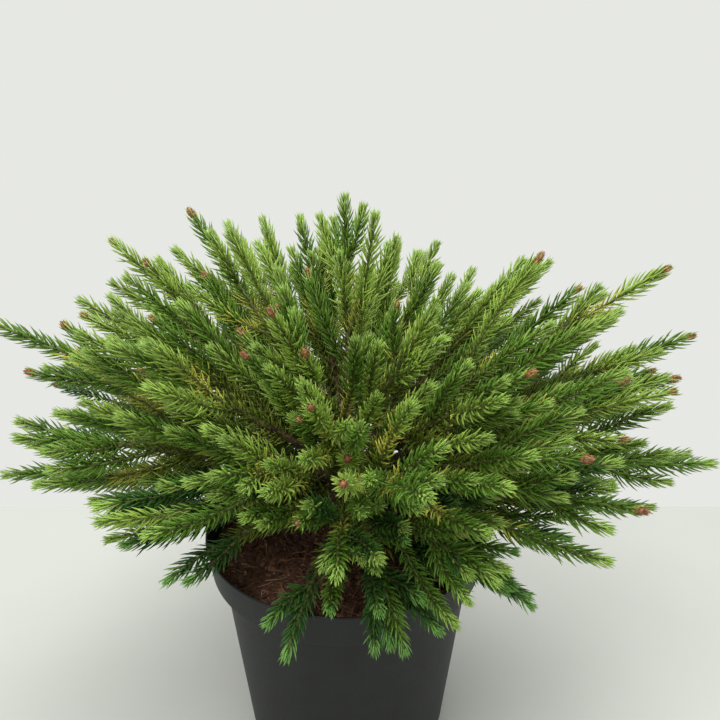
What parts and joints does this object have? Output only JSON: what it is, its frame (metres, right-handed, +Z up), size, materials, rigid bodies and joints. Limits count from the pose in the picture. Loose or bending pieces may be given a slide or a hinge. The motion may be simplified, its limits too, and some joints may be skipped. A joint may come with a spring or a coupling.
{
  "type": "potted dwarf japanese cedar",
  "caption": "Dwarf evergreen conifer in a round dark nursery pot: finger-like needled shoots radiate from a short stem and arch over the rim.",
  "frame": {"origin": "middle of the pot's flat underside", "axes": "+Z up the pot's axis, +X to the right and +Y away from the side that the picture shows"},
  "size_m": [0.5084, 0.4019, 0.44],
  "materials": {
    "pot_plastic": "matt, faintly ribbed by moulding, dusty",
    "soil_mix": "rough mix of bark chips and fibres",
    "bark": "rough, scaly, reddish brown",
    "foliage": "satin green needles, lighter at the shoot tips"
  },
  "bodies": {
    "root": {"pot": "pot_plastic", "soil": "soil_mix", "stem": "bark", "bough_low_1": "bark", "bough_low_10": "bark", "bough_low_2": "bark", "bough_low_7": "bark", "bough_low_8": "bark", "bough_low_9": "bark", "bough_middle_1": "bark", "bough_middle_12": "bark", "bough_middle_2": "bark", "bough_middle_6": "bark", "bough_middle_7": "bark", "bough_middle_8": "bark", "mass_crown_1": "foliage", "mass_crown_2": "foliage", "mass_crown_3": "foliage", "mass_crown_4": "foliage", "mass_crown_5": "foliage", "mass_crown_6": "foliage", "mass_low_1": "foliage", "mass_low_10": "foliage", "mass_low_2": "foliage", "mass_low_3": "foliage", "mass_low_4": "foliage", "mass_low_5": "foliage", "mass_low_6": "foliage", "mass_low_7": "foliage", "mass_low_8": "foliage", "mass_low_9": "foliage", "mass_middle_1": "foliage", "mass_middle_10": "foliage", "mass_middle_11": "foliage", "mass_middle_12": "foliage", "mass_middle_2": "foliage", "mass_middle_3": "foliage", "mass_middle_4": "foliage", "mass_middle_5": "foliage", "mass_middle_6": "foliage", "mass_middle_7": "foliage", "mass_middle_8": "foliage", "mass_middle_9": "foliage", "mass_skirt_1": "foliage", "mass_skirt_2": "foliage", "mass_skirt_3": "foliage", "mass_skirt_4": "foliage", "mass_skirt_5": "foliage", "mass_skirt_6": "foliage", "mass_skirt_7": "foliage", "mass_skirt_8": "foliage", "mass_skirt_9": "foliage", "mass_upper_1": "foliage", "mass_upper_2": "foliage", "mass_upper_3": "foliage", "mass_upper_4": "foliage", "mass_upper_5": "foliage", "mass_upper_6": "foliage", "mass_upper_7": "foliage", "mass_upper_8": "foliage"}
  },
  "joints": []
}
